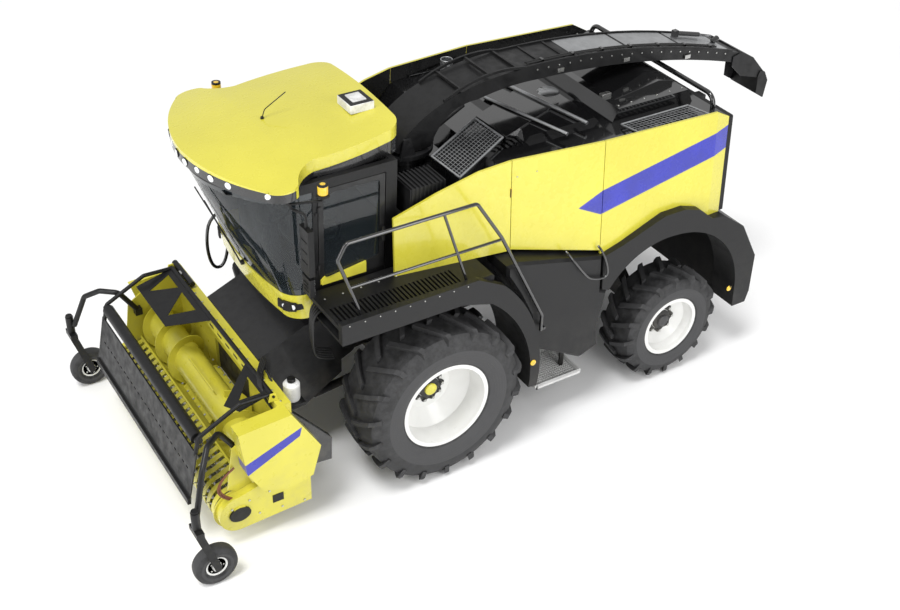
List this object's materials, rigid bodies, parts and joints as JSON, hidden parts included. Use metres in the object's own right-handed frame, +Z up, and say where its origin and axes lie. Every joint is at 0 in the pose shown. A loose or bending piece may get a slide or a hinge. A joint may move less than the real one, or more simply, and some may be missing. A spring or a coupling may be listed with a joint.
{
  "type": "forage harvester",
  "caption": "Self-propelled forage harvester with a windrow pickup header, glazed cab, high discharge spout and steered rear axle.",
  "frame": {"origin": "on the ground under the centre of the machine's bounding box", "axes": "+X to the machine's left, +Y rearwards, +Z up; the header is at -Y"},
  "size_m": [3.776, 8.307, 4.079],
  "materials": {
    "body_yellow": "gloss",
    "gloss_black": "gloss",
    "frame_black": "satin",
    "plastic_black": "matte",
    "rim_white": "satin",
    "tyre_rubber": "matte",
    "tinted_glass": "polished",
    "galvanised": "satin",
    "rod_chrome": "polished",
    "engine_cast": "rough",
    "seat_cloth": "woven",
    "spout_black": "satin",
    "caster_rubber": "matte",
    "tine_steel": "satin"
  },
  "bodies": {
    "machine": {"chassis_frame": "frame_black", "front_axle": "frame_black", "rear_axle": "frame_black", "engine": "engine_cast", "crop_unit": "frame_black", "front_side_panels": "body_yellow", "rear_side_panels": "body_yellow", "engine_deck": "gloss_black", "rear_grille": "plastic_black", "front_fenders": "plastic_black", "rear_fenders": "plastic_black", "rear_bumper": "plastic_black", "side_fairings": "plastic_black", "platform": "plastic_black", "handrails": "gloss_black", "spout_cradle": "gloss_black", "cab_frame": "plastic_black", "cab_nose": "body_yellow", "cab_glass": "tinted_glass", "cab_roof": "body_yellow", "seat": "seat_cloth", "console": "plastic_black", "mirrors": "plastic_black", "roof_equipment": "plastic_black"},
    "header": {"feeder_house": "frame_black", "header_frame": "body_yellow", "header_shields": "body_yellow", "pickup_bands": "body_yellow", "gauge_arms": "gloss_black"},
    "cab_door": {"cab_door": "plastic_black", "door_glass": "tinted_glass"},
    "auger": {"auger": "body_yellow"},
    "pickup_reel": {"pickup_reel": "tine_steel"},
    "crop_guard": {"crop_guard": "gloss_black"},
    "guard_roller": {"guard_roller": "gloss_black"},
    "caster_fork_left": {"caster_fork_left": "gloss_black"},
    "caster_fork_right": {"caster_fork_right": "gloss_black"},
    "caster_wheel_left": {"caster_wheel_left": "caster_rubber"},
    "caster_wheel_right": {"caster_wheel_right": "caster_rubber"},
    "lift_barrels": {"lift_barrels": "frame_black"},
    "lift_rods": {"lift_rods": "rod_chrome"},
    "turret": {"turret": "frame_black"},
    "spout": {"spout": "spout_black"},
    "spout_barrel": {"spout_barrel": "frame_black"},
    "spout_rod": {"spout_rod": "rod_chrome"},
    "flap_upper": {"flap_upper": "spout_black"},
    "flap_lower": {"flap_lower": "spout_black"},
    "knuckle_left": {"knuckle_left": "frame_black"},
    "knuckle_right": {"knuckle_right": "frame_black"},
    "tie_rod": {"tie_rod": "rod_chrome"},
    "side_door_left": {"side_door_left": "body_yellow"},
    "side_door_right": {"side_door_right": "body_yellow"},
    "front_wheel_left": {"front_tyre_left": "tyre_rubber", "front_rim_left": "rim_white"},
    "front_wheel_right": {"front_tyre_right": "tyre_rubber", "front_rim_right": "rim_white"},
    "rear_wheel_left": {"rear_tyre_left": "tyre_rubber", "rear_rim_left": "rim_white"},
    "rear_wheel_right": {"rear_tyre_right": "tyre_rubber", "rear_rim_right": "rim_white"}
  },
  "joints": [
    {"name": "front_wheel_spin_left", "type": "hinge", "parent": "machine", "child": "front_wheel_left", "pos_m": [1.345, -1.22, 0.96], "axis": [1, 0, 0], "continuous": true},
    {"name": "steer_left", "type": "hinge", "parent": "machine", "child": "knuckle_left", "pos_m": [0.95, 1.98, 0.695], "axis": [0, 0, 1], "range_deg": [-48, 48]},
    {"name": "rear_wheel_spin_left", "type": "hinge", "parent": "knuckle_left", "child": "rear_wheel_left", "pos_m": [1.22, 1.98, 0.695], "axis": [1, 0, 0], "continuous": true},
    {"name": "front_wheel_spin_right", "type": "hinge", "parent": "machine", "child": "front_wheel_right", "pos_m": [-1.345, -1.22, 0.96], "axis": [1, 0, 0], "continuous": true},
    {"name": "steer_right", "type": "hinge", "parent": "machine", "child": "knuckle_right", "pos_m": [-0.95, 1.98, 0.695], "axis": [0, 0, 1], "range_deg": [-48, 48]},
    {"name": "rear_wheel_spin_right", "type": "hinge", "parent": "knuckle_right", "child": "rear_wheel_right", "pos_m": [-1.22, 1.98, 0.695], "axis": [1, 0, 0], "continuous": true},
    {"name": "tie_rod_turn", "type": "hinge", "parent": "knuckle_left", "child": "tie_rod", "pos_m": [0.95, 2.18, 0.645], "axis": [0, 0, 1], "range_deg": [-48, 48]},
    {"name": "header_lift", "type": "hinge", "parent": "machine", "child": "header", "pos_m": [0, -1.77, 1.3], "axis": [-1, 0, 0], "range_deg": [0, 18]},
    {"name": "lift_barrels_swing", "type": "hinge", "parent": "machine", "child": "lift_barrels", "pos_m": [0, -1.57, 0.76], "axis": [-1, 0, 0], "range_deg": [0, 14.5]},
    {"name": "lift_rods_slide", "type": "slide", "parent": "lift_barrels", "child": "lift_rods", "axis": [0, -0.9932, -0.1162], "range_m": [0, 0.17]},
    {"name": "reel_spin", "type": "hinge", "parent": "header", "child": "pickup_reel", "pos_m": [0, -3.53, 0.43], "axis": [1, 0, 0], "continuous": true},
    {"name": "auger_spin", "type": "hinge", "parent": "header", "child": "auger", "pos_m": [0, -3.18, 0.86], "axis": [1, 0, 0], "continuous": true},
    {"name": "guard_lift", "type": "hinge", "parent": "header", "child": "crop_guard", "pos_m": [0, -3.01, 1.59], "axis": [-1, 0, 0], "range_deg": [0, 30]},
    {"name": "guard_roller_spin", "type": "hinge", "parent": "crop_guard", "child": "guard_roller", "pos_m": [0, -3.79, 1.33], "axis": [1, 0, 0], "continuous": true},
    {"name": "caster_swivel_left", "type": "hinge", "parent": "header", "child": "caster_fork_left", "pos_m": [1.793, -4.088, 0.8], "axis": [0, 0, 1], "continuous": true},
    {"name": "caster_spin_left", "type": "hinge", "parent": "caster_fork_left", "child": "caster_wheel_left", "pos_m": [1.793, -3.948, 0.227], "axis": [1, 0, 0], "continuous": true},
    {"name": "caster_swivel_right", "type": "hinge", "parent": "header", "child": "caster_fork_right", "pos_m": [-1.793, -4.088, 0.8], "axis": [0, 0, 1], "continuous": true},
    {"name": "caster_spin_right", "type": "hinge", "parent": "caster_fork_right", "child": "caster_wheel_right", "pos_m": [-1.793, -3.948, 0.227], "axis": [1, 0, 0], "continuous": true},
    {"name": "spout_swing", "type": "hinge", "parent": "machine", "child": "turret", "pos_m": [0, -0.82, 3.13], "axis": [0, 0, 1], "range_deg": [-105, 105]},
    {"name": "spout_lift", "type": "hinge", "parent": "turret", "child": "spout", "pos_m": [0, -0.92, 3.33], "axis": [1, 0, 0], "range_deg": [0, 32]},
    {"name": "spout_barrel_swing", "type": "hinge", "parent": "turret", "child": "spout_barrel", "pos_m": [0, -0.495, 3.228], "axis": [1, 0, 0], "range_deg": [0, 40.5]},
    {"name": "spout_rod_slide", "type": "slide", "parent": "spout_barrel", "child": "spout_rod", "axis": [0, 0.8828, 0.4698], "range_m": [0, 0.213]},
    {"name": "upper_flap_tilt", "type": "hinge", "parent": "spout", "child": "flap_upper", "pos_m": [0, 3.56, 3.262], "axis": [1, 0, 0], "range_deg": [-35, 20]},
    {"name": "lower_flap_tilt", "type": "hinge", "parent": "flap_upper", "child": "flap_lower", "pos_m": [0, 4.005, 2.975], "axis": [1, 0, 0], "range_deg": [-30, 30]},
    {"name": "cab_door_swing", "type": "hinge", "parent": "machine", "child": "cab_door", "pos_m": [0.94042, -2.276, 2.9], "axis": [-0.0359, 0, -0.9994], "range_deg": [0, 50]},
    {"name": "side_door_swing_left", "type": "hinge", "parent": "machine", "child": "side_door_left", "pos_m": [1.305, -0.27, 2.7], "axis": [0, 0, -1], "range_deg": [0, 80]},
    {"name": "side_door_swing_right", "type": "hinge", "parent": "machine", "child": "side_door_right", "pos_m": [-1.305, -0.27, 2.7], "axis": [0, 0, 1], "range_deg": [0, 80]}
  ],
  "couplings": [
    {"joint": "steer_right", "follows": "steer_left", "ratio": 1},
    {"joint": "tie_rod_turn", "follows": "steer_left", "ratio": -1},
    {"joint": "lift_barrels_swing", "follows": "header_lift", "ratio": 0.8},
    {"joint": "lift_rods_slide", "follows": "header_lift", "m_per_rad": 0.538},
    {"joint": "spout_barrel_swing", "follows": "spout_lift", "ratio": 1.26},
    {"joint": "spout_rod_slide", "follows": "spout_lift", "m_per_rad": 0.381}
  ]
}
